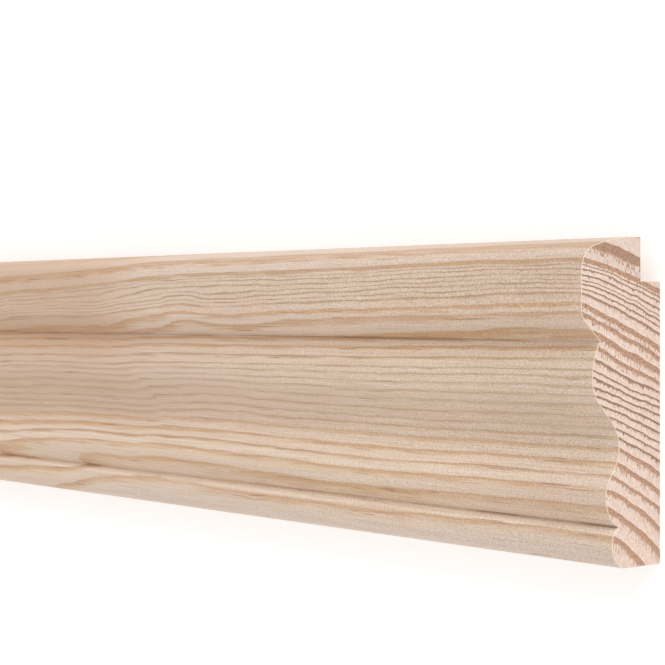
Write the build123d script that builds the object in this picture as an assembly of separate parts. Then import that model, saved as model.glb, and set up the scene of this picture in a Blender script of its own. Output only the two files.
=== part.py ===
from build123d import *
import math
import os

# Picture rail: one planed and moulded length of softwood, stored lying on its wall face.
# X runs along the length, Y up the height of the rail as it is fixed, Z out from the wall.
# The origin is under the middle of the piece, on the wall face. Sizes are in millimetres.

# Stock
LENGTH = 2400.0          # as sold
THICKNESS = 18.0         # wall face to fascia, the whole projection

# Heights of the members, each measured up from the one below it
BEAD_RISE = 3.6          # foot to the crown of the bead
BEAD_SHOULDER = 2.3      # crown of the bead to the lower quirk
TORUS_FOOT = 4.05        # lower quirk to the crown of the torus
TORUS_TO_COVE = 6.25     # crown of the torus to the bottom of the cove
COVE_TO_OVOLO = 9.2      # bottom of the cove to the crown of the ovolo
OVOLO_HEAD = 4.8         # crown of the ovolo to the upper quirk
SPLAY_RISE = 3.2         # upper quirk to the fascia
FASCIA_RISE = 10.6       # bottom of the fascia to the top of the lip

# Projections, each measured in or out from the member above it
OVOLO_SETBACK = 2.4      # crown of the ovolo behind the fascia
UPPER_QUIRK_DEPTH = 1.7  # upper quirk behind the crown of the ovolo
OGEE_DEPTH = 5.95        # bottom of the cove behind the crown of the ovolo
TORUS_STAND = 3.0        # crown of the torus proud of the bottom of the cove
LOWER_QUIRK_DEPTH = 2.9  # lower quirk behind the crown of the torus
BEAD_STAND = 1.5         # crown of the bead proud of the lower quirk

# Curves
OGEE_FULLNESS = 0.45     # ovolo to cove: 0 is a straight splay, 1 is two arcs with no straight
REVERSE_FULLNESS = 0.64  # cove to torus, the same way
LIP_CROWN_RADIUS = 39.5  # gentle crown over the lip, level at its wall side
NOSE_RADIUS = 3.5        # front edge of the lip
SPLAY_RADIUS = 1.4       # eased corner from the fascia to the splay
UNDERSIDE_SLOPE = 2.2    # degrees that the underside climbs from the wall to the bead
ARRIS_RADIUS = 0.3       # eased corners on the wall side

# Rebate behind the lip, which takes the hooks
REBATE_DEPTH = 4.7       # out from the wall
REBATE_HEIGHT = 5.9      # down from the top of the lip

LARGEST_FILLET = 0.9     # share of its shorter side that a fillet may take up


def stacked_heights():
    """Height of each member above the foot, by name."""
    rises = {
        "bead": BEAD_RISE,
        "lower_quirk": BEAD_SHOULDER,
        "torus": TORUS_FOOT,
        "cove": TORUS_TO_COVE,
        "ovolo": COVE_TO_OVOLO,
        "upper_quirk": OVOLO_HEAD,
        "fascia": SPLAY_RISE,
        "top": FASCIA_RISE,
    }
    heights, level = {}, 0.0
    for member, rise in rises.items():
        level += rise
        heights[member] = level
    return heights


def stacked_projections():
    """Distance of each member out from the wall, by name."""
    ovolo = THICKNESS - OVOLO_SETBACK
    cove = ovolo - OGEE_DEPTH
    torus = cove + TORUS_STAND
    lower_quirk = torus - LOWER_QUIRK_DEPTH
    return {
        "fascia": THICKNESS,
        "upper_quirk": ovolo - UPPER_QUIRK_DEPTH,
        "ovolo": ovolo,
        "cove": cove,
        "torus": torus,
        "lower_quirk": lower_quirk,
        "bead": lower_quirk + BEAD_STAND,
    }


def underside(bead_height, bead_out):
    """The underside, and the round of the bead from it to the crown of the bead."""
    slope = math.radians(UNDERSIDE_SLOPE)
    radius = (bead_height * math.cos(slope) - bead_out * math.sin(slope)) / (1 - math.sin(slope))
    run = bead_height * math.sin(slope) + (bead_out - radius) * math.cos(slope)
    tangent_point = (run * math.sin(slope), run * math.cos(slope))
    Line((0, 0), tangent_point)
    TangentArc((bead_height, bead_out), tangent_point, tangent=(-1, 0))


def reverse_curve(start, end, fullness):
    """Two equal arcs with a straight between, level with the wall at both ends."""
    rise = end[0] - start[0]
    step = abs(end[1] - start[1])
    way = math.copysign(1, end[1] - start[1])
    slope = (1 + fullness) * math.atan(step / rise)
    radius = (rise * math.tan(slope) - step) * math.cos(slope) / (2 * (1 - math.cos(slope)))
    along = radius * math.sin(slope)
    across = way * radius * (1 - math.cos(slope))
    first = (start[0] + along, start[1] + across)
    last = (end[0] - along, end[1] - across)
    TangentArc(start, first, tangent=(1, 0))
    Line(first, last)
    TangentArc(end, last, tangent=(-1, 0))


def lip(top, fascia_height):
    """Fascia, nose and crown of the lip, up to the edge of the rebate."""
    crown_centre = (top - LIP_CROWN_RADIUS, REBATE_DEPTH)
    nose_out = THICKNESS - NOSE_RADIUS
    reach = LIP_CROWN_RADIUS - NOSE_RADIUS
    nose_height = crown_centre[0] + math.sqrt(reach**2 - (nose_out - REBATE_DEPTH) ** 2)
    scale = LIP_CROWN_RADIUS / reach
    join = (
        crown_centre[0] + (nose_height - crown_centre[0]) * scale,
        crown_centre[1] + (nose_out - crown_centre[1]) * scale,
    )
    Line((fascia_height, THICKNESS), (nose_height, THICKNESS))
    TangentArc((nose_height, THICKNESS), join, tangent=(1, 0))
    TangentArc((top, REBATE_DEPTH), join, tangent=(0, 1))


def section():
    """The moulded section, with height along its first axis and projection along its second."""
    height = stacked_heights()
    out = stacked_projections()

    def place(member):
        return (height[member], out[member])

    top = height["top"]
    ledge = top - REBATE_HEIGHT
    with BuildSketch() as profile:
        with BuildLine():
            underside(*place("bead"))
            TangentArc(place("bead"), place("lower_quirk"), tangent=(1, 0))
            TangentArc(place("torus"), place("lower_quirk"), tangent=(-1, 0))
            reverse_curve(place("torus"), place("cove"), REVERSE_FULLNESS)
            reverse_curve(place("cove"), place("ovolo"), OGEE_FULLNESS)
            TangentArc(place("ovolo"), place("upper_quirk"), tangent=(1, 0))
            Line(place("upper_quirk"), place("fascia"))
            lip(top, height["fascia"])
            Polyline((top, REBATE_DEPTH), (ledge, REBATE_DEPTH), (ledge, 0), (0, 0))
        make_face()
        splay = math.hypot(SPLAY_RISE, THICKNESS - out["upper_quirk"])
        ease(profile, [place("fascia")], min(SPLAY_RADIUS, LARGEST_FILLET * splay))
        wall_corners = [(0, 0), (ledge, 0), (top, REBATE_DEPTH)]
        ease(profile, wall_corners, min(ARRIS_RADIUS, LARGEST_FILLET * REBATE_DEPTH))
    return profile.sketch


def ease(profile, corners, radius):
    """Rounds the corners of the profile that lie at these points."""
    found = [profile.vertices().sort_by_distance(corner)[0] for corner in corners]
    fillet(found, radius)


def picture_rail():
    """The whole piece, its height centred on the origin and its wall face on Z = 0."""
    height = stacked_heights()["top"]
    across = Plane(origin=(0, -height / 2, 0), x_dir=(0, 1, 0), z_dir=(1, 0, 0))
    return extrude(across * section(), amount=LENGTH / 2, both=True)


os.makedirs("parts", exist_ok=True)
export_step(picture_rail(), "parts/picture_rail.step")
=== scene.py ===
import math

import bmesh
import bpy
from mathutils import Matrix, Vector


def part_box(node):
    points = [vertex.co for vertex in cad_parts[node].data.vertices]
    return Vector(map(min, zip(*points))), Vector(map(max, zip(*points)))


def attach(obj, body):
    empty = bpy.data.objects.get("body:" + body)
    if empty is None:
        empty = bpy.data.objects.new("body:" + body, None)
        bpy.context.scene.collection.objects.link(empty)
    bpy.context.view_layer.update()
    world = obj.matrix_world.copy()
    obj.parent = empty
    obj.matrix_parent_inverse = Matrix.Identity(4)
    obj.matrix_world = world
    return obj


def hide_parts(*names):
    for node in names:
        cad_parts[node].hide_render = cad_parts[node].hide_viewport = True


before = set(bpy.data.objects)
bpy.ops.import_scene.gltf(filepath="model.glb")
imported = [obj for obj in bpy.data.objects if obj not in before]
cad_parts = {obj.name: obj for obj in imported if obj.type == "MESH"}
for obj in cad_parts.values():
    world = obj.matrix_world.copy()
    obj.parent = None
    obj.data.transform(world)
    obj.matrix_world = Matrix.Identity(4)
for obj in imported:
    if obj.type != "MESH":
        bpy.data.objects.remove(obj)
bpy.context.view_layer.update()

# The rail
# One length of planed and moulded pine, sold loose. The knives of a moulding machine cut the whole
# section in one pass, and a saw cuts both ends square, which leaves a slightly broken arris there.

MM = 0.001
ALONG, UP, OUT = Vector((1, 0, 0)), Vector((0, 1, 0)), Vector((0, 0, 1))

far_corner, near_corner = (Vector(corner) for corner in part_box("picture_rail"))
LENGTH = (near_corner.x - far_corner.x) / MM
THICKNESS = (near_corner.z - far_corner.z) / MM

# Rises from each member of the section to the next, then how far each stands in or out
BEAD_RISE, BEAD_SHOULDER = 3.6, 2.3
TORUS_FOOT, TORUS_TO_COVE, COVE_TO_OVOLO = 4.05, 6.25, 9.2
OVOLO_HEAD, SPLAY_RISE, FASCIA_RISE = 4.8, 3.2, 10.6
OVOLO_SETBACK, UPPER_QUIRK_DEPTH, OGEE_DEPTH = 2.4, 1.7, 5.95
TORUS_STAND, LOWER_QUIRK_DEPTH, BEAD_STAND = 3.0, 2.9, 1.5
REBATE_DEPTH, REBATE_HEIGHT = 4.7, 5.9

# How full the two reverse curves are, from a straight at 0 to two arcs with no straight at 1
OGEE_FULLNESS, REVERSE_FULLNESS = 0.45, 0.64

LIP_CROWN_RADIUS, NOSE_RADIUS, SPLAY_RADIUS, ARRIS_RADIUS = 39.5, 3.5, 1.4, 0.3
UNDERSIDE_SLOPE = math.radians(2.2)

# A worn knife rounds the bottom of the lower quirk, and the saw breaks the edge of each end
WORN_KNIFE = 0.28
SAWN_ARRIS = 0.15

# The turn of one facet and how many each bend gets, and the turn from which an edge stays sharp
FACET = math.radians(4)
FEWEST_FACETS = 3
SPLAY_FACETS, CORNER_FACETS, SAWN_ARRIS_FACETS = 10, 6, 3
QUIRK_ANGLE = math.radians(28)

PLANED, SAWN = 0, 1

bead = BEAD_RISE
lower_quirk = bead + BEAD_SHOULDER
torus = lower_quirk + TORUS_FOOT
cove = torus + TORUS_TO_COVE
ovolo = cove + COVE_TO_OVOLO
upper_quirk = ovolo + OVOLO_HEAD
fascia = upper_quirk + SPLAY_RISE
HEIGHT = fascia + FASCIA_RISE

ovolo_out = THICKNESS - OVOLO_SETBACK
upper_quirk_out = ovolo_out - UPPER_QUIRK_DEPTH
cove_out = ovolo_out - OGEE_DEPTH
torus_out = cove_out + TORUS_STAND
lower_quirk_out = torus_out - LOWER_QUIRK_DEPTH
bead_out = lower_quirk_out + BEAD_STAND


def on_end(height, out):
    """A point of the section on the far end, by its height over the foot and its way from the wall."""
    return Vector((far_corner.x, (height - HEIGHT / 2) * MM, out * MM))


def straight_to(tip, point):
    """Carries the outline on in a straight line, and returns its new tip."""
    new_tip = bmesh.ops.extrude_vert_indiv(stock, verts=[tip])["verts"][0]
    new_tip.co = point
    return new_tip


def round_to(tip, point, tangent, at_tip):
    """Carries the outline on in an arc that runs along the tangent at its tip or at the point."""
    anchor, other = (tip.co, point) if at_tip else (point, tip.co)
    across = ALONG.cross(tangent)
    chord = other - anchor
    centre = anchor + across * chord.length_squared / (2 * chord.dot(across))
    start, end = tip.co - centre, point - centre
    turn = math.atan2(start.cross(end).dot(ALONG), start.dot(end))
    swept = bmesh.ops.spin(
        stock,
        geom=[tip],
        cent=centre,
        axis=ALONG,
        angle=turn,
        steps=max(FEWEST_FACETS, math.ceil(abs(turn) / FACET)),
        use_merge=False,
    )
    return swept["geom_last"][0]


def reverse_curve_to(tip, point, fullness):
    """Carries the outline on in two equal arcs with a straight between, upright at both ends."""
    rise = (point - tip.co).dot(UP)
    step = (point - tip.co).dot(OUT)
    slope = (1 + fullness) * math.atan(abs(step) / rise)
    radius = (rise * math.tan(slope) - abs(step)) * math.cos(slope) / (2 * (1 - math.cos(slope)))
    leg = UP * radius * math.sin(slope) + OUT * math.copysign(radius * (1 - math.cos(slope)), step)
    tip = round_to(tip, tip.co + leg, UP, at_tip=True)
    tip = straight_to(tip, point - leg)
    return round_to(tip, point, UP, at_tip=False)


def round_off(corners, cut, facets):
    """Rounds off corners of the outline, each from this far back along its sides."""
    bmesh.ops.bevel(
        stock,
        geom=corners,
        offset=cut * MM,
        segments=facets,
        profile=0.5,
        affect="VERTICES",
        material=-1,
    )


stock = bmesh.new()
foot = stock.verts.new(on_end(0, 0))

slope_sine, slope_cosine = math.sin(UNDERSIDE_SLOPE), math.cos(UNDERSIDE_SLOPE)
bead_radius = (bead * slope_cosine - bead_out * slope_sine) / (1 - slope_sine)
underside = bead * slope_sine + (bead_out - bead_radius) * slope_cosine
tip = straight_to(foot, on_end(underside * slope_sine, underside * slope_cosine))
tip = round_to(tip, on_end(bead, bead_out), UP, at_tip=False)
quirk_bottom = round_to(tip, on_end(lower_quirk, lower_quirk_out), UP, at_tip=True)
tip = round_to(quirk_bottom, on_end(torus, torus_out), UP, at_tip=False)
tip = reverse_curve_to(tip, on_end(cove, cove_out), REVERSE_FULLNESS)
tip = reverse_curve_to(tip, on_end(ovolo, ovolo_out), OGEE_FULLNESS)
tip = round_to(tip, on_end(upper_quirk, upper_quirk_out), UP, at_tip=True)
splay_corner = straight_to(tip, on_end(fascia, THICKNESS))

crown_foot = HEIGHT - LIP_CROWN_RADIUS
nose_reach = LIP_CROWN_RADIUS - NOSE_RADIUS
nose_out = THICKNESS - NOSE_RADIUS
nose_rise = math.sqrt(nose_reach**2 - (nose_out - REBATE_DEPTH) ** 2)
crown_share = LIP_CROWN_RADIUS / nose_reach
crown_start = on_end(
    crown_foot + nose_rise * crown_share, REBATE_DEPTH + (nose_out - REBATE_DEPTH) * crown_share
)
tip = straight_to(splay_corner, on_end(crown_foot + nose_rise, THICKNESS))
tip = round_to(tip, crown_start, UP, at_tip=True)
lip_corner = round_to(tip, on_end(HEIGHT, REBATE_DEPTH), OUT, at_tip=False)
tip = straight_to(lip_corner, on_end(HEIGHT - REBATE_HEIGHT, REBATE_DEPTH))
ledge_corner = straight_to(tip, on_end(HEIGHT - REBATE_HEIGHT, 0))
stock.edges.new((ledge_corner, foot))
bmesh.ops.contextual_create(stock, geom=stock.edges[:])

splay_turn = math.atan2(THICKNESS - upper_quirk_out, SPLAY_RISE)
round_off([splay_corner], SPLAY_RADIUS * math.tan(splay_turn / 2), SPLAY_FACETS)
round_off([foot, ledge_corner, lip_corner], ARRIS_RADIUS, CORNER_FACETS)
round_off([quirk_bottom], WORN_KNIFE, CORNER_FACETS)

pushed = bmesh.ops.extrude_face_region(stock, geom=stock.faces[:])["geom"]
pushed = [element for element in pushed if isinstance(element, bmesh.types.BMVert)]
bmesh.ops.translate(stock, verts=pushed, vec=ALONG * (LENGTH * MM))
bmesh.ops.recalc_face_normals(stock, faces=stock.faces[:])

for face in stock.faces:
    face.smooth = True
    face.material_index = SAWN if abs(face.normal.x) > 0.5 else PLANED

end_edges = [
    edge for edge in stock.edges if any(face.material_index == SAWN for face in edge.link_faces)
]
arris_faces = bmesh.ops.bevel(
    stock,
    geom=end_edges,
    offset=SAWN_ARRIS * MM,
    offset_type="OFFSET",
    segments=SAWN_ARRIS_FACETS,
    profile=0.5,
    affect="EDGES",
    clamp_overlap=False,
    material=-1,
)["faces"]
for face in arris_faces:
    face.material_index = SAWN
    for edge in face.edges:
        edge.smooth = all(neighbour in arris_faces for neighbour in edge.link_faces)

rail_mesh = bpy.data.meshes.new("moulded_rail")
stock.to_mesh(rail_mesh)
stock.free()
rail_mesh.set_sharp_from_angle(angle=QUIRK_ANGLE)
rail = bpy.data.objects.new("moulded_rail", rail_mesh)
bpy.context.collection.objects.link(rail)
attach(rail, "root")
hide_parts("picture_rail")

# The growth rings
# The stock was sawn from beside the heart of a log, which lay below the foot and just in front of
# the fascia. Each year laid down pale early wood and then a thin band of dark late wood. Planed and
# sawn surfaces cut through the same rings, so the lines on the faces meet the bands on the ends.

HEART_BACK, HEART_UP = -3.4, -18.3
INNERMOST, OUTERMOST = 16.0, 68.0

# How far the rings bow outward, BOW_REACH to the front or back of their middle, as (radius, bow)
BOW_MIDDLE, BOW_REACH, BOW_POWER = 10.7, 10.0, 1.3
FRONT_BOW = (
    (16, 0.25), (27, 0.25), (33, 0.15), (37, 0.1), (42, 0.42), (44.5, 0.95), (47, 1.4), (49.5, 1.65),
    (52, 1.55), (54.5, 1.2), (57, 0.58), (60, 0.4), (68, 0.3),
)
BACK_BOW = (
    (16, 0.3), (25, 0.7), (30, 1.33), (37, 1.35), (42, 1.55), (44.5, 1.62), (47, 1.3), (49.5, 0.4),
    (52, 0.1), (54.5, 0.15), (57, 0.45), (60, 0.75), (68, 0.75),
)

# How far the rings climb along the length from the near end, or sink where it is below 0, as
# (share of DRIFT_REACH, millimetres), at the foot, the torus, the ogee, the ovolo, the splay and
# the lip
DRIFT_REACH = 150.0
FOOT_DRIFT = (
    (0.0, 0.0), (0.1, -0.05), (0.2, -0.18), (0.24, -0.4), (0.3, -0.6), (0.4, -0.6), (0.49, -0.45),
    (0.55, -0.1), (0.6, 0.29), (0.64, 0.3), (0.675, -0.1), (0.72, -0.7), (0.77, -1.85), (0.81, -2.95),
    (0.9, -3.9), (1.0, -4.9),
)
TORUS_DRIFT = (
    (0.0, 0.0), (0.08, 0.03), (0.14, -0.1), (0.2, -0.33), (0.3, -0.6), (0.38, -0.35), (0.49, 0.0),
    (0.56, 0.25), (0.61, 0.3), (0.67, -0.2), (0.73, -0.13), (0.8, -0.5), (0.87, -1.2), (0.93, -2.0),
    (1.0, -2.5),
)
OGEE_DRIFT = (
    (0.0, 0.0), (0.08, -0.12), (0.14, -0.2), (0.2, -0.35), (0.28, -0.45), (0.38, -0.42),
    (0.45, -0.28), (0.52, -0.05), (0.58, -0.3), (0.63, -0.6), (0.68, -1.25), (0.74, -1.15),
    (0.8, -1.15), (0.87, -1.45), (0.93, -1.6), (1.0, -1.8),
)
OVOLO_DRIFT = (
    (0.0, -0.05), (0.08, -0.08), (0.15, -0.2), (0.2, -0.47), (0.27, -0.6), (0.38, -0.74),
    (0.45, -0.88), (0.51, -0.98), (0.57, -1.0), (0.63, -1.18), (0.69, -1.72), (0.75, -1.76),
    (0.81, -1.88), (0.87, -2.15), (0.93, -2.4), (1.0, -2.6),
)
SPLAY_DRIFT = (
    (0.0, -0.03), (0.07, 0.0), (0.1, -0.12), (0.13, -0.28), (0.2, -0.5), (0.27, -0.76), (0.33, -0.98),
    (0.4, -1.17), (0.433, -1.5), (0.467, -1.6), (0.5, -1.4), (0.533, -1.1), (0.567, -1.66),
    (0.6, -1.95), (0.633, -2.3), (0.667, -2.8), (0.7, -3.08), (0.76, -3.05), (0.8, -3.2),
    (0.87, -3.55), (0.9, -3.8), (1.0, -4.1),
)
LIP_DRIFT = (
    (0.0, 0.05), (0.08, 0.14), (0.15, -0.02), (0.2, -0.12), (0.3, -0.45), (0.45, -0.58),
    (0.52, -0.68), (0.58, -0.95), (0.63, -1.42), (0.7, -2.1), (0.8, -2.7), (0.9, -3.2), (1.0, -3.5),
)

# Each drift above the foot's takes over from the one below it between these two heights
HIGHER_DRIFTS = (
    (TORUS_DRIFT, 5.0, 10.0),
    (OGEE_DRIFT, 11.0, 17.0),
    (OVOLO_DRIFT, 21.5, 26.5),
    (SPLAY_DRIFT, 28.5, 31.0),
    (LIP_DRIFT, 35.8, 38.3),
)

# Beyond DRIFT_REACH they wander to either side by up to WANDER, and fully so from WANDER_FULL on
WANDER, WANDER_PITCH, WANDER_FULL = 2.6, 200.0, 420.0

# Small waves in the grain as (pitch, size), drawn out along the length
WAVES = ((4.5, 0.24), (2.0, 0.2))
WAVE_STRETCH = 3.0

# Each year outward from the heart, as (growth, late wood) in millimetres
FIRST_RADIUS = 16.4
YEARS = (
    (3.1, 0.7), (3.05, 0.25), (3.0, 0.85), (2.95, 0.8), (2.25, 0.65), (1.85, 0.45), (1.98, 0.62),
    (1.92, 0.55), (1.3, 0.32), (0.96, 0.22), (1.05, 0.22), (1.07, 0.26), (0.97, 0.28), (0.98, 0.26),
    (0.92, 0.26), (0.76, 0.2), (1.3, 0.34), (1.5, 0.52), (1.82, 0.85), (1.7, 0.58), (1.3, 0.72),
    (1.64, 0.36), (0.77, 0.2), (0.82, 0.24), (0.52, 0.12), (0.76, 0.22), (0.81, 0.18), (0.52, 0.14),
    (0.85, 0.6), (2.95, 1.35), (3.0, 0.6),
)


def put(tree, kind, sockets=None, **settings):
    """Adds a node with its settings, and wires or sets each of these sockets."""
    node = tree.nodes.new(kind)
    for name, value in settings.items():
        setattr(node, name, value)
    for name, value in (sockets or {}).items():
        if isinstance(value, bpy.types.NodeSocket):
            tree.links.new(value, node.inputs[name])
        else:
            node.inputs[name].default_value = value
    return node


def reckon(tree, operation, *values):
    """Adds a Math node, and returns what it puts out."""
    return put(tree, "ShaderNodeMath", dict(enumerate(values)), operation=operation).outputs[0]


def fade(tree, value, start, end, low=0.0, high=1.0):
    """Runs smoothly from low to high while the value runs from start to end."""
    sockets = {"Value": value, "From Min": start, "From Max": end, "To Min": low, "To Max": high}
    return put(tree, "ShaderNodeMapRange", sockets, interpolation_type="SMOOTHSTEP").outputs["Result"]


def graph(tree, value, points, handle):
    """Reads the value off a line drawn through the points."""
    node = put(tree, "ShaderNodeFloatCurve", {"Value": value})
    node.mapping.use_clip = False
    line = node.mapping.curves[0]
    line.points[0].location, line.points[1].location = points[0], points[-1]
    for x, y in points[1:-1]:
        line.points.new(x, y)
    for point in line.points:
        point.handle_type = handle
    node.mapping.update()
    return node.outputs["Value"]


def graph_by_radius(tree, radius, points):
    """Reads a value off a smooth line drawn through points given as (radius, value)."""
    span = OUTERMOST - INNERMOST
    share = reckon(tree, "DIVIDE", reckon(tree, "SUBTRACT", radius, INNERMOST), span)
    shares = [((place - INNERMOST) / span, value) for place, value in points]
    return graph(tree, share, shares, "AUTO_CLAMPED")


def in_wood(tree, size=(1.0, 1.0, 1.0)):
    """The place in the wood in millimetres, divided by a size along each axis."""
    place = put(tree, "ShaderNodeTexCoord").outputs["Object"]
    scale = tuple(1 / MM / side for side in size)
    return put(tree, "ShaderNodeVectorMath", {0: place, 1: scale}, operation="MULTIPLY").outputs[0]


def speckle(tree, place, detail, scale=1.0):
    """Noise about a middle of 0.5, one wave to each unit over the scale."""
    sockets = {"Vector": place, "Scale": scale, "Detail": detail}
    return put(tree, "ShaderNodeTexNoise", sockets).outputs["Fac"]


def centred(tree, noise):
    """Noise about a middle of 0."""
    return reckon(tree, "SUBTRACT", noise, 0.5)


def new_group(name, inputs, outputs):
    """Starts a node group, and returns its tree with its two end nodes."""
    tree = bpy.data.node_groups.new(name, "ShaderNodeTree")
    for socket, value in inputs.items():
        made = tree.interface.new_socket(socket, in_out="INPUT", socket_type="NodeSocketFloat")
        made.default_value = value
    for socket in outputs:
        tree.interface.new_socket(socket, in_out="OUTPUT", socket_type="NodeSocketFloat")
    return tree, tree.nodes.new("NodeGroupInput"), tree.nodes.new("NodeGroupOutput")


def ring_drift(tree, along, height, back):
    """How far the rings lie above their place on the near end."""
    share = put(tree, "ShaderNodeClamp", {"Value": reckon(tree, "DIVIDE", along, DRIFT_REACH)})
    drift = graph(tree, share.outputs[0], FOOT_DRIFT, "AUTO_CLAMPED")
    for points, start, end in HIGHER_DRIFTS:
        higher = graph(tree, share.outputs[0], points, "AUTO_CLAMPED")
        mixed = {"Factor": fade(tree, height, start, end), "A": drift, "B": higher}
        drift = put(tree, "ShaderNodeMix", mixed).outputs["Result"]

    sockets = {"W": along, "Scale": 1 / WANDER_PITCH, "Detail": 1.5}
    wander = put(tree, "ShaderNodeTexNoise", sockets, noise_dimensions="1D").outputs["Fac"]
    wander = reckon(tree, "MULTIPLY", centred(tree, wander), 2 * WANDER)
    drift = reckon(tree, "MULTIPLY_ADD", wander, fade(tree, along, DRIFT_REACH, WANDER_FULL), drift)

    drawn_out = {"X": reckon(tree, "DIVIDE", along, WAVE_STRETCH), "Y": height, "Z": back}
    drawn_out = put(tree, "ShaderNodeCombineXYZ", drawn_out).outputs[0]
    for pitch, size in WAVES:
        wave = centred(tree, speckle(tree, drawn_out, 1.0, 1 / pitch))
        drift = reckon(tree, "MULTIPLY_ADD", wave, 2 * size, drift)
    return drift


def place_in_log():
    """Where a point of the wood lay in the log: along it, out from its heart and round it."""
    tree, _, out = new_group("place_in_log", {}, ("Along", "Radius", "Round"))
    split = put(tree, "ShaderNodeSeparateXYZ", {"Vector": in_wood(tree)})
    along = reckon(tree, "SUBTRACT", LENGTH / 2, split.outputs["X"])
    height = reckon(tree, "ADD", split.outputs["Y"], HEIGHT / 2)
    back = reckon(tree, "SUBTRACT", THICKNESS, split.outputs["Z"])

    level = reckon(tree, "SUBTRACT", height, ring_drift(tree, along, height, back))
    rise = reckon(tree, "SUBTRACT", level, HEART_UP)
    reach = reckon(tree, "SUBTRACT", back, HEART_BACK)
    squares = reckon(tree, "MULTIPLY_ADD", rise, rise, reckon(tree, "MULTIPLY", reach, reach))
    radius = reckon(tree, "SQRT", squares)

    bows = {
        "Factor": reckon(tree, "GREATER_THAN", back, BOW_MIDDLE),
        "A": graph_by_radius(tree, radius, FRONT_BOW),
        "B": graph_by_radius(tree, radius, BACK_BOW),
    }
    bow = put(tree, "ShaderNodeMix", bows).outputs["Result"]
    off_middle = reckon(tree, "ABSOLUTE", reckon(tree, "SUBTRACT", back, BOW_MIDDLE))
    off_middle = reckon(tree, "POWER", reckon(tree, "DIVIDE", off_middle, BOW_REACH), BOW_POWER)
    bowed = reckon(tree, "SUBTRACT", radius, reckon(tree, "MULTIPLY", bow, off_middle))
    round_heart = reckon(tree, "MULTIPLY", reckon(tree, "ARCTAN2", reach, rise), radius)
    for socket, value in (("Along", along), ("Radius", bowed), ("Round", round_heart)):
        tree.links.new(value, out.inputs[socket])
    return tree


def growth_rings():
    """Late wood, the time of year, and how broad that year's late wood is, all by the radius."""
    inputs = {"Radius": 0.0, "Rag": 0.0, "Blur": 0.05}
    tree, given, out = new_group("growth_rings", inputs, ("Late wood", "Season", "Breadth"))
    ages, shares, breadths, radius = [(0.0, 0.0)], [], [], FIRST_RADIUS
    across = sum(growth for growth, _ in YEARS)
    for year, (growth, late) in enumerate(YEARS):
        radius += growth
        midyear = (year + 0.5) / len(YEARS)
        ages.append(((radius - FIRST_RADIUS) / across, year + 1.0))
        shares.append((midyear, late / growth))
        breadths.append((midyear, late))

    share = reckon(tree, "SUBTRACT", given.outputs["Radius"], FIRST_RADIUS)
    age = graph(tree, reckon(tree, "DIVIDE", share, across), ages, "VECTOR")
    season = reckon(tree, "FRACT", age)
    midyear = reckon(tree, "ADD", reckon(tree, "FLOOR", age), 0.5)
    midyear = reckon(tree, "DIVIDE", midyear, float(len(YEARS)))

    late_share = graph(tree, midyear, shares, "VECTOR")
    ragged_share = reckon(tree, "MULTIPLY", late_share, reckon(tree, "ADD", 1.0, given.outputs["Rag"]))
    turn = reckon(tree, "SUBTRACT", 1.0, ragged_share)
    blur = given.outputs["Blur"]
    late = fade(tree, season, reckon(tree, "SUBTRACT", turn, blur), reckon(tree, "ADD", turn, blur))
    winter = reckon(tree, "SUBTRACT", 1.0, reckon(tree, "MULTIPLY", blur, 0.5))
    late = reckon(tree, "MULTIPLY", late, fade(tree, season, 1.0, winter))
    breadth = graph(tree, midyear, breadths, "VECTOR")
    for socket, value in (("Late wood", late), ("Season", season), ("Breadth", breadth)):
        tree.links.new(value, out.inputs[socket])
    return tree


PLACE_IN_LOG = place_in_log()
GROWTH_RINGS = growth_rings()

# The planed faces
# Bare pine straight from the knives: grey-cream spring wood that turns golden through the year, tan
# late wood, long fine fibres and short dark resin ducts. The bottoms of the quirks are darkened in
# places with painted shade, and the top of the bead, a stretch of the splay and the rings across the
# torus top are painted paler as painted light. The knife ripples carry a faint painted shade.

# The year's growth, from spring to autumn
SEASON_COLOURS = (
    (0.0, (0.685, 0.55, 0.438)),
    (0.3, (0.742, 0.592, 0.467)),
    (0.6, (0.752, 0.581, 0.421)),
    (1.0, (0.68, 0.455, 0.266)),
)
TAN_LATE = (0.62, 0.375, 0.198, 1)
THIN_LATE = (0.36, 0.242, 0.16, 1)
AMBER = (0.52, 0.275, 0.125, 1)
PINK_WOOD = (0.72, 0.545, 0.432, 1)
SAPWOOD = (0.715, 0.575, 0.495, 1)
# Painted light for the paler rings and strips
PAINTED_LIGHT_WOOD = (0.86, 0.71, 0.575, 1)
WEATHERED = (0.55, 0.315, 0.18, 1)
PLANED_FIBRE = (0.57, 0.397, 0.266, 1)
RESIN = (0.27, 0.145, 0.075, 1)
# Painted shade for the bottoms of the quirks
PAINTED_QUIRK_SHADE = (0.215, 0.115, 0.052, 1)

# How plain the late wood shows, as (radius, share): fainter where a face cuts it aslant
PLAINNESS = (
    (16, 0.2), (22.8, 0.2), (24, 0.62), (26.5, 0.62), (28.5, 0.8), (31, 0.85), (33, 0.9), (37, 0.45),
    (42, 0.45), (46, 0.76), (50, 0.7), (53, 0.86), (68, 0.88),
)

# Groups of rings, each by the radii where it sets in, is full, starts to fade and is gone
# The first group lies across the torus top and is painted paler there as painted light
TORUS_LIGHT_RINGS = (29.5, 31.5, 35.0, 37.0)
OGEE_RINGS = (31.0, 33.0, 44.0, 46.0)
RESINOUS_RINGS = (45.5, 47.5, 51.0, 53.0)
FASCIA_RINGS = (53.5, 55.5, 58.5, 59.5)

# Strips of painted light the same way, by their level about the quirk, and stretches of painted light and
# painted shade by their way along the length
PAINTED_LIGHT_BEAD_TOP = (-1.3, -0.9, 0.0, 0.3)
PAINTED_LIGHT_SPLAY = (0.5, 1.1, 2.8, 3.6)
PAINTED_LIGHT_SPLAY_STRETCH = (34.0, 48.0, 88.0, 104.0)
UPPER_SHADE_STRETCH = (10.0, 34.0, 60.0, 68.0)

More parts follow.
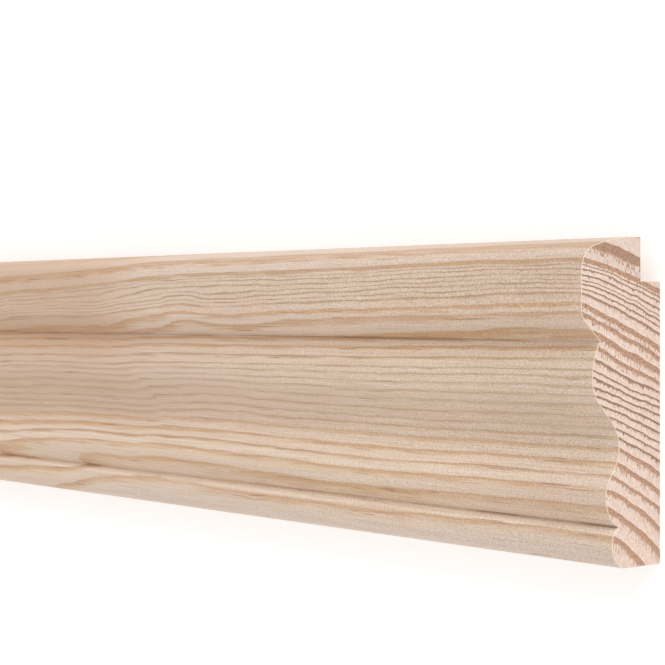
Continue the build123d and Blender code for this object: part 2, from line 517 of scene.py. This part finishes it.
# The lower painted shade lies this far up and out from the quirk, on the bottom that the worn knife left
SHADE_REACH = 0.45
SHADE_UP, SHADE_OUT = 0.1, 0.2

# How strong the woolly nap is at the near end and further along, and the pitch of the knife marks
WOOL, FAR_WOOL = 0.84, 0.378
KNIFE_PITCH = 0.9
PLANED_RELIEF = 0.03


def between(tree, value, start, full, fading, gone):
    """A mask that is 1 while the value is between its two middle bounds and 0 beyond the outer."""
    return reckon(tree, "MULTIPLY", fade(tree, value, start, full), fade(tree, value, gone, fading))


def lay(tree, colour, *layers):
    """Lays colours over the first one in turn, each given as (share, colour)."""
    for share, tint in layers:
        sockets = {"Factor": share, 6: colour, 7: tint}
        colour = put(tree, "ShaderNodeMix", sockets, data_type="RGBA").outputs[2]
    return colour


def colour_line(tree, value, stops):
    """Reads a colour off a line of (place, colour) stops."""
    ramp = put(tree, "ShaderNodeValToRGB", {"Fac": value})
    line = ramp.color_ramp.elements
    line[0].position, line[1].position = stops[0][0], stops[-1][0]
    for place, _ in stops[1:-1]:
        line.new(place)
    for stop, (_, colour) in zip(line, stops):
        stop.color = (*colour, 1)
    return ramp.outputs["Color"]


def new_finish(name):
    """Starts a material, and returns it with its tree and its shader's sockets."""
    material = bpy.data.materials.new(name)
    material.use_nodes = True
    return material, material.node_tree, material.node_tree.nodes["Principled BSDF"].inputs


def from_group(tree, group, sockets=None):
    """Places a node group in a material, and returns what it puts out."""
    return put(tree, "ShaderNodeGroup", sockets, node_tree=group).outputs


def painted_light_strip(tree, quirk, band):
    """A strip of painted light along the length, placed by its level about a quirk."""
    height = put(tree, "ShaderNodeSeparateXYZ", {"Vector": in_wood(tree)}).outputs["Y"]
    return between(tree, reckon(tree, "SUBTRACT", height, quirk - HEIGHT / 2), *band)


def quirk_painted_shade(tree, along):
    """Painted shade in the bottom of the two quirks, in broken stretches along the length."""
    place = put(tree, "ShaderNodeTexCoord").outputs["Object"]
    patches = speckle(tree, in_wood(tree, (9.0, 3.0, 3.0)), 2.0)
    stretch = between(tree, along, *UPPER_SHADE_STRETCH)
    above = reckon(tree, "MULTIPLY_ADD", stretch, 0.3, fade(tree, patches, 0.35, 0.65, 0.03, 0.2))
    below = fade(tree, patches, 0.4, 0.6, 0.1, 0.6)
    below = reckon(tree, "MULTIPLY", below, fade(tree, along, 40.0, 18.0))
    painted_shades = []
    for corner, depth in (
        (on_end(upper_quirk, upper_quirk_out), above),
        (on_end(lower_quirk + SHADE_UP, lower_quirk_out + SHADE_OUT), below),
    ):
        away = put(tree, "ShaderNodeVectorMath", {0: place, 1: corner}, operation="SUBTRACT").outputs[0]
        in_section = {0: away, 1: (0, 1 / MM, 1 / MM)}
        away = put(tree, "ShaderNodeVectorMath", in_section, operation="MULTIPLY").outputs[0]
        away = put(tree, "ShaderNodeVectorMath", {0: away}, operation="LENGTH").outputs["Value"]
        painted_shades.append(fade(tree, away, SHADE_REACH, 0.0, 0.0, depth))
    return reckon(tree, "MAXIMUM", *painted_shades)


def early_wood(tree, log, rings, rag):
    """The colour of the faces between the bands of late wood."""
    along, radius = log["Along"], log["Radius"]
    ripe = fade(tree, rings["Breadth"], 0.15, 0.45, 0.62, 1.0)
    ripe = reckon(tree, "MULTIPLY", rings["Season"], ripe)
    colour = colour_line(tree, reckon(tree, "MULTIPLY_ADD", rag, 0.5, ripe), SEASON_COLOURS)

    patch = speckle(tree, in_wood(tree, (60.0, 14.0, 14.0)), 2.0)
    ashen_bead = fade(tree, radius, 26.5, 24.0, 0.0, 0.45)
    ashen_lip = fade(tree, radius, 57.5, 59.0, 0.0, 0.45)
    ashen_underside = fade(tree, radius, 23.8, 22.4, 0.0, 0.4)
    ashen = reckon(tree, "ADD", reckon(tree, "ADD", ashen_bead, ashen_lip), ashen_underside)
    # Painted light on the rings across the torus top
    pale = reckon(tree, "MULTIPLY", between(tree, radius, *TORUS_LIGHT_RINGS), 0.55)
    # Painted light on a stretch of the splay
    splay_light_stretch = reckon(tree, "MULTIPLY", between(tree, along, *PAINTED_LIGHT_SPLAY_STRETCH), 0.3)
    painted_splay_light = reckon(tree, "MULTIPLY", painted_light_strip(tree, upper_quirk, PAINTED_LIGHT_SPLAY), splay_light_stretch)

    weathered = fade(tree, radius, 33.0, 37.0, 0.0, 0.2)
    weathered = reckon(tree, "MULTIPLY_ADD", fade(tree, radius, 43.0, 48.0), 0.29, weathered)
    weathered = reckon(tree, "MULTIPLY", weathered, fade(tree, along, 86.0, 108.0))
    handled = fade(tree, along, 50.0, 20.0, 0.0, 0.1)
    handled = reckon(tree, "MULTIPLY", fade(tree, radius, 50.0, 53.0), handled)
    return lay(
        tree,
        colour,
        (fade(tree, patch, 0.4, 0.75), PINK_WOOD),
        (ashen, SAPWOOD),
        (pale, PAINTED_LIGHT_WOOD),
        # Painted light along the top of the bead
        (painted_light_strip(tree, lower_quirk, PAINTED_LIGHT_BEAD_TOP), PAINTED_LIGHT_WOOD),
        (painted_splay_light, PAINTED_LIGHT_WOOD),
        (reckon(tree, "ADD", weathered, handled), WEATHERED),
    )


def late_wood(tree, log, rings, resinous):
    """How plain the late wood shows on the faces, and its colour."""
    late = graph_by_radius(tree, log["Radius"], PLAINNESS)
    late = reckon(tree, "MULTIPLY", rings["Late wood"], late)
    faint = fade(tree, speckle(tree, in_wood(tree, (14.0, 0.9, 0.9)), 2.0), 0.32, 0.58, 0.6, 1.0)
    late = reckon(tree, "MULTIPLY", late, faint)
    softer = fade(tree, rings["Breadth"], 0.5, 0.3, 0.0, 0.24)
    softer = reckon(tree, "MULTIPLY", fade(tree, log["Along"], 70.0, 110.0), softer)
    late = reckon(tree, "MULTIPLY", late, reckon(tree, "SUBTRACT", 1.0, softer))

    on_fascia = between(tree, log["Radius"], *FASCIA_RINGS)
    colour = lay(
        tree,
        THIN_LATE,
        (fade(tree, rings["Breadth"], 0.3, 0.6), TAN_LATE),
        (fade(tree, rings["Breadth"], 0.9, 1.4, 0.0, 0.45), THIN_LATE),
        (reckon(tree, "MULTIPLY", on_fascia, 0.4), THIN_LATE),
        (reckon(tree, "MULTIPLY", resinous, 0.5), AMBER),
    )
    return late, colour


def planed_pine():
    """The finish of every face that the knives cut."""
    material, tree, shader = new_finish("planed_pine")
    log = from_group(tree, PLACE_IN_LOG)
    along, radius = log["Along"], log["Radius"]
    rag = centred(tree, speckle(tree, in_wood(tree, (7.0, 0.45, 0.45)), 3.0))
    broader = fade(tree, along, 65.0, 105.0, 0.0, 0.75)
    broader = reckon(tree, "MULTIPLY", between(tree, radius, *OGEE_RINGS), broader)
    ring_rag = reckon(tree, "MULTIPLY_ADD", rag, 2.2, broader)
    rings = from_group(tree, GROWTH_RINGS, {"Radius": radius, "Rag": ring_rag, "Blur": 0.2})
    fibre = speckle(tree, in_wood(tree, (12.0, 0.2, 0.2)), 4.0)
    wool = speckle(tree, in_wood(tree, (0.24, 0.16, 0.16)), 1.0)
    knife = reckon(tree, "SINE", reckon(tree, "MULTIPLY", along, math.tau / KNIFE_PITCH))

    resinous = between(tree, radius, *RESINOUS_RINGS)
    resinous = reckon(tree, "MAXIMUM", resinous, fade(tree, radius, 31.0, 28.5, 0.0, 0.7))
    resinous = reckon(tree, "MAXIMUM", resinous, fade(tree, radius, 59.5, 60.5, 0.0, 0.8))
    duct = speckle(tree, in_wood(tree, (8.0, 0.2, 0.2)), 1.0)
    duct = fade(tree, reckon(tree, "MULTIPLY_ADD", resinous, 0.03, duct), 0.69, 0.74, 0.0, 0.75)
    duct = reckon(tree, "MULTIPLY", duct, fade(tree, rings["Season"], 0.3, 0.7, 0.25, 1.0))

    late, late_colour = late_wood(tree, log, rings, resinous)
    autumn_edge = reckon(tree, "MULTIPLY", late, fade(tree, rings["Season"], 0.8, 0.97, 0.0, 0.45))
    late_fibre = reckon(tree, "MULTIPLY", fade(tree, fibre, 0.48, 0.66, 0.0, 0.5), late)
    colour = lay(
        tree,
        early_wood(tree, log, rings, rag),
        (late, late_colour),
        (autumn_edge, THIN_LATE),
        (fade(tree, fibre, 0.4, 0.75, 0.0, 0.5), PLANED_FIBRE),
        (late_fibre, AMBER),
        # Painted shade: the knife ripples are laid faintly darker
        (fade(tree, knife, -1.0, 1.0, 0.0, 0.07), PLANED_FIBRE),
        (duct, RESIN),
        # Painted shade in the bottoms of the quirks
        (quirk_painted_shade(tree, along), PAINTED_QUIRK_SHADE),
    )
    woolly = fade(tree, along, 20.0, 110.0, WOOL, FAR_WOOL)
    woolly = reckon(tree, "MULTIPLY", woolly, fade(tree, radius, 50.0, 54.0, 1.0, 1.15))
    shade = fade(tree, along, 6.0, 28.0, 0.945, 0.985)
    nap = reckon(tree, "MULTIPLY_ADD", centred(tree, wool), woolly, shade)
    colour = put(tree, "ShaderNodeVectorMath", {0: colour, "Scale": nap}, operation="SCALE").outputs[0]
    tree.links.new(colour, shader["Base Color"])

    relief = reckon(tree, "MULTIPLY_ADD", rings["Late wood"], 0.4, reckon(tree, "ADD", fibre, wool))
    relief = reckon(tree, "MULTIPLY_ADD", knife, 0.15, relief)
    bump = put(tree, "ShaderNodeBump", {"Height": relief, "Strength": 0.8, "Distance": PLANED_RELIEF * MM})
    tree.links.new(bump.outputs["Normal"], shader["Normal"])
    tree.links.new(fade(tree, rings["Late wood"], 0.0, 1.0, 0.62, 0.48), shader["Roughness"])
    return material


rail_mesh.materials.append(planed_pine())

# The sawn ends
# Cross-cut pine: broad rings show as reddish bands and narrow ones as thin dark lines, each with a
# ragged inner edge of short ticks. The saw scratches the pale spring wood and leaves a pale fuzzy
# arris, which is painted paler still as a painted highlight.

SAWN_EARLY = (0.875, 0.707, 0.607, 1)
SAWN_PINK = (0.78, 0.556, 0.446, 1)
SAWN_BROAD = (0.56, 0.315, 0.195, 1)
SAWN_NARROW = (0.262, 0.137, 0.075, 1)
SAWN_DULL = (0.70, 0.57, 0.50, 1)
SAWN_PIT = (0.50, 0.36, 0.27, 1)
# Pale fuzz on the broken arris, painted paler still as a painted highlight
ARRIS_FUZZ_AND_HIGHLIGHT = (0.90, 0.73, 0.58, 1)
SAWN_ROUGHNESS = 0.75
SAWN_RELIEF = 0.06
SAW_SLANT = math.radians(27)
SCRATCH_BREADTH, SCRATCH_LENGTH = 0.12, 1.6


def ring_speckle(tree, across, outward, size, detail):
    """Noise of this size across and out through the rings."""
    place = {"X": reckon(tree, "DIVIDE", across, size[0]), "Y": reckon(tree, "DIVIDE", outward, size[1])}
    return speckle(tree, put(tree, "ShaderNodeCombineXYZ", place).outputs[0], detail)


def saw_scratches(tree):
    """Noise drawn out along the slanting stroke of the saw."""
    place = {"Vector": put(tree, "ShaderNodeTexCoord").outputs["Object"], "Angle": SAW_SLANT}
    slanted = put(tree, "ShaderNodeVectorRotate", place, rotation_type="X_AXIS").outputs[0]
    drawn_out = {0: slanted, 1: (0, 1 / SCRATCH_BREADTH / MM, 1 / SCRATCH_LENGTH / MM)}
    drawn_out = put(tree, "ShaderNodeVectorMath", drawn_out, operation="MULTIPLY").outputs[0]
    return speckle(tree, drawn_out, 2.0)


def sawn_pine():
    """The finish of both ends and of their broken arrises."""
    material, tree, shader = new_finish("sawn_pine")
    log = from_group(tree, PLACE_IN_LOG)
    across, outward = log["Round"], log["Radius"]
    tick = ring_speckle(tree, across, outward, (0.24, 0.9), 2.0)
    ragged = fade(tree, ring_speckle(tree, across, outward, (4.0, 1.5), 1.0), 0.4, 0.6, 0.35, 1.2)
    rag = reckon(tree, "MULTIPLY_ADD", centred(tree, tick), 0.8, 0.1)
    rag = reckon(tree, "MULTIPLY_ADD", fade(tree, tick, 0.52, 0.62), ragged, rag)
    wobble = centred(tree, ring_speckle(tree, across, outward, (0.45, 2.0), 2.0))
    outward = reckon(tree, "MULTIPLY_ADD", wobble, 0.2, outward)
    rings = from_group(tree, GROWTH_RINGS, {"Radius": outward, "Rag": rag, "Blur": 0.08})

    streak = ring_speckle(tree, across, outward, (0.5, 0.2), 3.0)
    darker = fade(tree, log["Radius"], 30.0, 36.0, 0.65, 0.9)
    darker = reckon(tree, "MULTIPLY", fade(tree, streak, 0.42, 0.6), darker)
    late_colour = lay(
        tree,
        SAWN_NARROW,
        (fade(tree, rings["Breadth"], 0.28, 0.5), SAWN_BROAD),
        (fade(tree, rings["Breadth"], 0.9, 1.3, 0.0, 0.4), SAWN_NARROW),
        (darker, SAWN_NARROW),
        (fade(tree, rings["Season"], 0.86, 0.99, 0.0, 0.4), SAWN_NARROW),
    )

    mottle = speckle(tree, in_wood(tree, (1.0, 0.9, 0.6)), 3.0)
    summer = reckon(tree, "MULTIPLY", reckon(tree, "POWER", rings["Season"], 3.0), 0.2)
    pit = speckle(tree, in_wood(tree, (0.3, 0.26, 0.2)), 3.0)
    scratch = saw_scratches(tree)
    off_middle = put(tree, "ShaderNodeSeparateXYZ", {"Vector": in_wood(tree)}).outputs["X"]
    from_end = reckon(tree, "SUBTRACT", LENGTH / 2, reckon(tree, "ABSOLUTE", off_middle))
    colour = lay(
        tree,
        SAWN_EARLY,
        (fade(tree, mottle, 0.35, 0.7, 0.0, 0.8), SAWN_PINK),
        (summer, SAWN_BROAD),
        (fade(tree, log["Radius"], 57.5, 59.0, 0.0, 0.4), SAWN_DULL),
        (fade(tree, pit, 0.45, 0.75, 0.0, 0.55), SAWN_PIT),
        (reckon(tree, "MULTIPLY", rings["Late wood"], 0.92), late_colour),
        (fade(tree, scratch, 0.5, 0.75, 0.0, 0.45), SAWN_PIT),
        # The arris is painted pale: fuzz from the saw, with a painted highlight
        (fade(tree, from_end, 0.01, 0.06, 0.0, 0.8), ARRIS_FUZZ_AND_HIGHLIGHT),
    )
    tree.links.new(colour, shader["Base Color"])
    shader["Roughness"].default_value = SAWN_ROUGHNESS

    relief = reckon(tree, "MULTIPLY_ADD", scratch, 0.6, pit)
    bump = put(tree, "ShaderNodeBump", {"Height": relief, "Strength": 0.7, "Distance": SAWN_RELIEF * MM})
    tree.links.new(bump.outputs["Normal"], shader["Normal"])
    return material


rail_mesh.materials.append(sawn_pine())

# The floor and the light
# The rail lies on a pale studio floor that glows a little, so its shadow stays faint. A bright room
# lights it from all sides. One large softbox beyond the lip lifts the curves that face up the rail,
# and a weaker one on the other side fills the shadows under the bead.

FLOOR_HALF_SIDE = 40.0
FLOOR_GLOW = 0.26
ROOM_LIGHT = 0.78
SOFTBOX_SIDE = 1.2

floor_mesh = bpy.data.meshes.new("floor")
floor_shape = bmesh.new()
bmesh.ops.create_grid(floor_shape, x_segments=1, y_segments=1, size=FLOOR_HALF_SIDE)
floor_shape.to_mesh(floor_mesh)
floor_shape.free()
floor = bpy.data.objects.new("floor", floor_mesh)
bpy.context.collection.objects.link(floor)
floor_finish, _, floor_shader = new_finish("pale_floor")
floor_shader["Roughness"].default_value = 0.9
floor_shader["Base Color"].default_value = (0.93, 0.93, 0.93, 1)
floor_shader["Emission Color"].default_value = (1, 1, 1, 1)
floor_shader["Emission Strength"].default_value = FLOOR_GLOW
floor_mesh.materials.append(floor_finish)

world = bpy.data.worlds.new("studio")
world.use_nodes = True
room = world.node_tree.nodes["Background"].inputs
room["Color"].default_value = (1, 1, 1, 1)
room["Strength"].default_value = ROOM_LIGHT
bpy.context.scene.world = world


def soft_light(name, offset, power):
    """A square softbox, set off from the near end of the rail and turned to face it."""
    light = bpy.data.lights.new(name, "AREA")
    light.size = SOFTBOX_SIDE
    light.energy = power
    near_end = Vector((near_corner.x, 0, 0))
    place = near_end + Vector(offset)
    facing = (near_end - place).to_track_quat("-Z", "Y").to_matrix().to_4x4()
    lamp = bpy.data.objects.new(name, light)
    lamp.matrix_world = Matrix.Translation(place) @ facing
    bpy.context.collection.objects.link(lamp)


soft_light("softbox", (0.5, 1.3, 1.1), 9.5)
soft_light("fill_light", (0.2, -1.4, 0.9), 3.0)

# The camera
# It looks down on the near end, square to the height of the rail, so that heights stay parallel. Its
# place comes from where the long edges of the rail meet and how large its end shows.

FRAME_SIDE = 665
FOCAL_PIXELS = 1513.56
HORIZON_ABOVE_MIDDLE = 22.1
TURN = math.radians(44.79)
CAMERA_ASIDE, CAMERA_DEPTH, CAMERA_RISE = 31.6, 191.67, 34.2
SENSOR = 36.0

camera_data = bpy.data.cameras.new("camera")
camera_data.sensor_width = SENSOR
camera_data.lens = FOCAL_PIXELS / FRAME_SIDE * SENSOR
camera_data.shift_y = -HORIZON_ABOVE_MIDDLE / FRAME_SIDE
camera_data.clip_start = 0.01
camera_data.clip_end = 200.0
camera = bpy.data.objects.new("camera", camera_data)
right = ALONG * math.cos(TURN) - OUT * math.sin(TURN)
backward = ALONG * math.sin(TURN) + OUT * math.cos(TURN)
front_foot = Vector((near_corner.x, -HEIGHT / 2 * MM, near_corner.z))
spot = front_foot + (backward * CAMERA_DEPTH - right * CAMERA_ASIDE + UP * CAMERA_RISE) * MM
turned = Matrix((right, UP, backward)).transposed().to_4x4()
camera.matrix_world = Matrix.Translation(spot) @ turned
bpy.context.collection.objects.link(camera)
bpy.context.scene.camera = camera
bpy.context.scene.view_settings.view_transform = "Standard"
